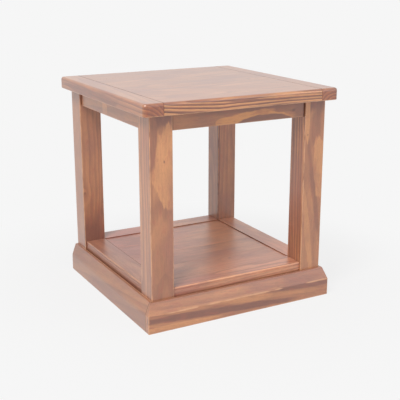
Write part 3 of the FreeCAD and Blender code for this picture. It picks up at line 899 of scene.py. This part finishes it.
def make_shelf():
    """Four rails round a panel of four planks that lies a little lower."""
    # The rails' shades are painted light and shade: the front, right and back rails are lighter than
    # their wood, the right and back most, and the left rail darker.
    for side, start, pith, shade, calm in (
            ("front", 5.0, (10, -60), 1.18, 0.0),
            ("right", 6.0, (-10, -50), 1.48, 0.7),
            ("back", 7.0, (20, -70), 1.55, 0.7),
            ("left", 8.0, (0, -45), 0.88, 0.5)):
        low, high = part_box("shelf_rail_front")
        glued = (low, high + Vector((0, COVERED, 0)) * MM)
        shape = moulded_rail(low, high)
        ease(shape, EASED, lies_at("y", high[1]), lies_at("z", high[2]), steps=2)
        board = Board(low, high, "x", start, pith, (0.015, 0.02), figure=0.45, growth=1.2,
                      shade=shade, calm=(calm, "up"), around=glued, butted=True)
        make_board("shelf_rail_" + side, shape, board, shelf_wood, side)

    low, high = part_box("shelf_plank_1")[0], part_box("shelf_plank_4")[1]
    reach = (PANEL_EDGE - PANEL_GAP) * MM
    low[:2] = (-reach, -reach)
    high[:2] = (reach, reach)
    panel = plank_row("shelf_panel", low, high, 4, shelf_wood)
    sunk = Vector((COVERED, COVERED, 0)) * MM
    # The planks' shades are painted light: all are lighter than their wood, more so towards the back.
    saw(panel.data, row_boards(low, high, (
        (0.0, (14, -60), (0.03, 0.02), 1.2),
        (1.0, (-20, -50), (-0.02, 0.03), 1.26),
        (2.0, (6, -75), (0.025, -0.02), 1.38),
        (3.0, (16, -65), (0.0, 0.02), 1.5)), 0.14, (low - sunk, high + sunk)), shelf_wood)
    fit(panel, ["shelf_plank_%d" % number for number in range(1, 5)])


# ---------- the plinth

# In millimetres: how far the plinth's face slants back, and the roundings of its arrises and of the
# kink in its side boards.
PLINTH_SLANT = 13.0
PLINTH_ROUND = 1.5
KINK_ROUND = 6.0


def skirting(low, high, kink, slant, returned):
    """A board on edge whose face slants back above the kink; a returned one's ends do so too."""
    shape = bmesh.new()
    ends = []
    for side in (low[0], high[0]):
        inwards = -1 if side > 0 else 1
        end = []
        for y, z in ((high[1], low[2]), (low[1], low[2]), (low[1], kink), (low[1] + slant, high[2]),
                     (high[1], high[2]), (high[1], kink)):
            set_in = slant if returned and z == high[2] else 0.0
            end.append(shape.verts.new((side + inwards * set_in, y, z)))
        ends.append(end)
        shape.faces.new((end[0], end[1], end[2], end[5]))
        shape.faces.new((end[2], end[3], end[4], end[5]))
    wall(shape, *ends)
    return shape


def make_plinth():
    """A full-width board in front, one down each side behind it, and a plain one at the back."""
    kink, slant = PLINTH_KINK * MM, PLINTH_SLANT * MM
    low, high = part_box("plinth_front")
    shape = skirting(low, high, kink, slant, returned=True)
    ease(shape, PLINTH_ROUND, is_not(lies_at("y", high[1])))
    board = Board(low, high, "x", 0.0, (70, 6), (0.02, -0.09), figure=0.3, growth=2.6, shade=0.95)
    make_board("plinth_front", shape, board, plinth_wood)

    low[0], high[0] = FRONT_SEAM * MM, -FRONT_SEAM * MM
    for side, start, pith in (("right", 1.0, (60, -12)), ("left", 3.0, (60, 30))):
        shape = skirting(low, high, kink, slant, returned=False)
        outside = is_not(lies_at("y", high[1]))
        ease(shape, PLINTH_ROUND, runs_along("x"), outside, is_not(lies_at("z", kink)))
        ease(shape, KINK_ROUND, runs_along("x"), outside, lies_at("z", kink), steps=4)
        board = Board(low, high, "x", start, pith, (0.02, 0.08), figure=0.22, growth=2.4,
                      shade=0.83, butted=True)
        make_board("plinth_" + side, shape, board, plinth_wood, side)

    low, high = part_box("plinth_back")
    shape = plain_board(low, high)
    ease(shape, EASED, steps=2)
    board = Board(low, high, "x", 2.0, (50, 10), (0.02, 0.03), butted=True)
    make_board("plinth_back", shape, board, plinth_wood)


# ---------- the fixings

# Sizes in millimetres, but for the sides of a round bar and the thread's depth, which is a share of
# its radius.
SPOKES = 16
PEG_RADIUS = 4.0
PEG_CHAMFER = 0.8
BUTTON_WIDTH = 30.0
BUTTON_SPACING = 220
THREAD_RADIUS = 1.75
THREAD_PITCH = 2.0
THREAD_DEPTH = 0.14
SCREW_POINT = 5.0


def turned_rod(name, profile, finish, dent=None):
    """A closed round bar about Z. The profile is (radius, height) in millimetres from end to end;
    dent gives each ring's own reach at an angle."""
    shape = bmesh.new()
    rings = []
    for number, (radius, height) in enumerate(profile):
        ring = []
        for spoke in range(SPOKES):
            angle = 2 * math.pi * spoke / SPOKES
            reach = (radius * dent(number, angle) if dent else radius) * MM
            ring.append(shape.verts.new((reach * math.cos(angle), reach * math.sin(angle),
                                         height * MM)))
        rings.append(ring)
    for one, other in zip(rings, rings[1:]):
        wall(shape, one, other)
    shape.faces.new(rings[0])
    shape.faces.new(rings[-1])
    piece = piece_from(name, shape)
    piece.data.materials.append(finish.material)
    return piece


def peg(name, length):
    """A round peg, chamfered at both ends."""
    narrow = PEG_RADIUS - PEG_CHAMFER
    return turned_rod(name, [(narrow, 0.0), (PEG_RADIUS, PEG_CHAMFER),
                             (PEG_RADIUS, length - PEG_CHAMFER), (narrow, length)], dowel_wood)


def wood_screw(name, length):
    """A countersunk screw with a cross slot; its head is at 0 and its point at the length. Its
    profile runs from the bottom of the slot over the head and down the plain shank first."""
    height = length * 0.35
    profile = [(1.2, 1.4), (2.4, 0.0), (4.0, 0.0), (4.0, 0.3), (1.9, 2.8), (1.9, height)]
    shank = len(profile)
    while height < length - SCREW_POINT:
        profile.append((THREAD_RADIUS, height))
        height += THREAD_PITCH / 4
    profile.append((0.2, length))

    def cross_and_thread(ring, angle):
        if ring < 2:
            in_an_arm = abs(math.cos(2 * angle)) > 0.8
            return 1.0 if in_an_arm else 0.4
        if shank <= ring < len(profile) - 1:
            turns = profile[ring][1] / THREAD_PITCH + angle / (2 * math.pi)
            return 1.0 + THREAD_DEPTH * math.cos(2 * math.pi * (turns % 1.0))
        return 1.0

    return turned_rod(name, profile, screw_steel, cross_and_thread)


def stand(piece, place, turn=None):
    """Puts a pattern in its place on the front of the table, in millimetres."""
    if turn:
        piece.data.transform(turn)
    piece.data.transform(Matrix.Translation(Vector(place) * MM))
    return piece


def make_pegs():
    """The pins up through the capping boards and the planks' tongues, and the dowels between the
    shelf rails and the legs."""
    pins = stand(peg("pin_pattern", 25.8), (0, -252.5, 586.2))
    saw_alone(pins, "z", 0.0, (20, 12), dowel_wood)
    fit(set_out("breadboard_pins_turned", pins, 240, count=3, sides=2, first_turn=90.0, turn=180.0),
        ["breadboard_pins"])

    dowels = stand(peg("dowel_pattern", 40.0), (-20.0, -261.0, 92.0),
                   Matrix.Rotation(RIGHT_ANGLE, 4, "Y"))
    saw_alone(dowels, "x", 0.0, (20, 12), dowel_wood)
    fit(set_out("rail_dowels_turned", dowels, 416), ["rail_dowels"])


def make_buttons():
    """Wooden buttons under the top, whose tongues reach into the aprons, and their screws."""
    outline = ((217.0, 566.0), (257.0, 566.0), (257.0, 573.0), (248.9, 573.0), (248.9, 586.0),
               (217.0, 586.0))
    shape = drawn_out_along_x([(-out * MM, up * MM) for out, up in outline],
                              -BUTTON_WIDTH / 2 * MM, BUTTON_WIDTH / 2 * MM)
    ease(shape, EASED_SMALL, steps=2)
    buttons = piece_from("button_pattern", shape)
    saw_alone(buttons, "y", 0.0, (30, -40), hidden_wood)
    fit(set_out("top_buttons_wood", buttons, BUTTON_SPACING), ["top_buttons"])
    upright = stand(wood_screw("button_screw_pattern", 34.0), (0, -233.0, 566.0))
    fit(set_out("button_screws_steel", upright, BUTTON_SPACING), ["button_screws"])


def make_cleats():
    """The cleats that carry the plinth, with the screws up into the rails and out into the plinth.
    The back one sits further in, and so do its screws."""
    for row, face, sides, first_turn in (("outer", FRONT_SEAM, 3, -90.0),
                                         ("back", -side_of("cleat_back", "y", 1), 1, 180.0)):
        upright = stand(wood_screw("rail_screw_pattern", 55.0), (0, face + 11.0, 35.0))
        fit(set_out("rail_screws_" + row, upright, 240, 2, sides, first_turn),
            ["cleat_screws"])
        level = stand(wood_screw("plinth_screw_pattern", 33.0), (0, face + 22.0, 46.0),
                      Matrix.Rotation(RIGHT_ANGLE, 4, "X"))
        fit(set_out("plinth_screws_" + row, level, 340, 2, sides, first_turn),
            ["cleat_screws"])

    for start, side in enumerate(SIDE_TURNS):
        grain = "x" if side in ("front", "back") else "y"
        node = "cleat_" + side
        low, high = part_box(node)
        shape = plain_board(low, high)
        ease(shape, EASED, steps=2)
        board = Board(low, high, grain, start, (30, 40))
        make_board(node, shape, board, hidden_wood)


# ---------- the studio

# Lengths in metres and angles in degrees. The floor shows the shadow's share of its own shading as
# far out as that is whole, and none of it from where it is gone.
PICTURE_WIDTH = 400
FOCAL_PIXELS = 822.6
CAMERA_PLACE = (-1.1473, -2.1183, 0.9528)
CAMERA_TURN = -28.93
CAMERA_DIP = 16.05
BACKGROUND = linear(246, 246, 246)
FLOOR_RADIUS = 40.0
SHADOW_SHARE = 0.12
SHADOW_WHOLE_TO = 0.4
SHADOW_GONE_AT = 0.9
LAMPS_AIM = (0, 0, 0.3)


def make_camera():
    """A camera that looks down at the table from its front left."""
    data = bpy.data.cameras.new("camera")
    data.lens = FOCAL_PIXELS / PICTURE_WIDTH * data.sensor_width
    camera = new_object("camera", data)
    camera.location = CAMERA_PLACE
    camera.rotation_euler = (math.radians(90 - CAMERA_DIP), 0, math.radians(CAMERA_TURN))
    bpy.context.scene.camera = camera


def shows_background(tree):
    """1 for a ray from the camera, from gloss or through glass, and 0 for plain light."""
    path = tree.node("ShaderNodeLightPath").output.node
    camera, glossy, through = [
        Socket(tree, path.outputs[name])
        for name in ("Is Camera Ray", "Is Glossy Ray", "Is Transmission Ray")]
    return tree.maths("MINIMUM", camera + glossy + through, 1.0)


def make_world(strength):
    """A plain white surround, which shows as the pale background behind the table."""
    world = bpy.data.worlds.new("surround")
    world.use_nodes = True
    bpy.context.scene.world = world
    world.node_tree.nodes.clear()
    tree = Tree(world.node_tree)
    light = tree.node("ShaderNodeBackground", {}, {
        "Color": (1.0, 1.0, 1.0, 1.0),
        "Strength": shows_background(tree) * (BACKGROUND[0] - strength) + strength})
    out = tree.nodes.new("ShaderNodeOutputWorld")
    tree.links.new(light.output, out.inputs["Surface"])


def make_floor():
    """A pale floor that fades to the background and keeps a faint shadow near the table."""
    bpy.ops.mesh.primitive_circle_add(vertices=64, radius=FLOOR_RADIUS, fill_type="NGON")
    floor = bpy.context.object
    floor.name = "floor"
    floor.location.z = -0.2 * MM
    finish = Finish("floor_paint", {"Roughness": 0.9, "Base Color": linear(236, 236, 236),
                                    "Specular IOR Level": 0.0})
    glow = finish.node("ShaderNodeEmission", {}, {"Color": BACKGROUND, "Strength": 1.0})
    place = finish.place()
    gone = finish.maths("SQRT", place[0] * place[0] + place[1] * place[1])
    far = finish.rise(gone, SHADOW_WHOLE_TO, SHADOW_GONE_AT)
    flat = shows_background(finish) * (far * SHADOW_SHARE + (1.0 - SHADOW_SHARE))
    lit = Socket(finish, finish.shader.outputs[0])
    mixed = finish.node("ShaderNodeMixShader", {}, {0: flat, 1: lit, 2: glow})
    finish.links.new(mixed.output, finish.nodes["Material Output"].inputs["Surface"])
    floor.data.materials.append(finish.material)


def make_lamp(name, place, size, power):
    """A square soft light that faces the table."""
    data = bpy.data.lights.new(name, "AREA")
    data.shape = "SQUARE"
    data.size = size
    data.energy = power
    lamp = new_object(name, data)
    lamp.location = place
    facing = Vector(LAMPS_AIM) - Vector(place)
    lamp.rotation_euler = facing.to_track_quat("-Z", "Y").to_euler()


bpy.context.scene.view_settings.view_transform = "Standard"
make_camera()
make_world(strength=0.4)
make_floor()
make_lamp("key_light", (-1.9, -1.4, 3.1), 1.2, 92)
make_lamp("fill_light", (1.8, -2.6, 1.6), 2.0, 18)

make_top()
make_legs()
make_aprons()
make_shelf()
make_plinth()
make_pegs()
make_buttons()
make_cleats()
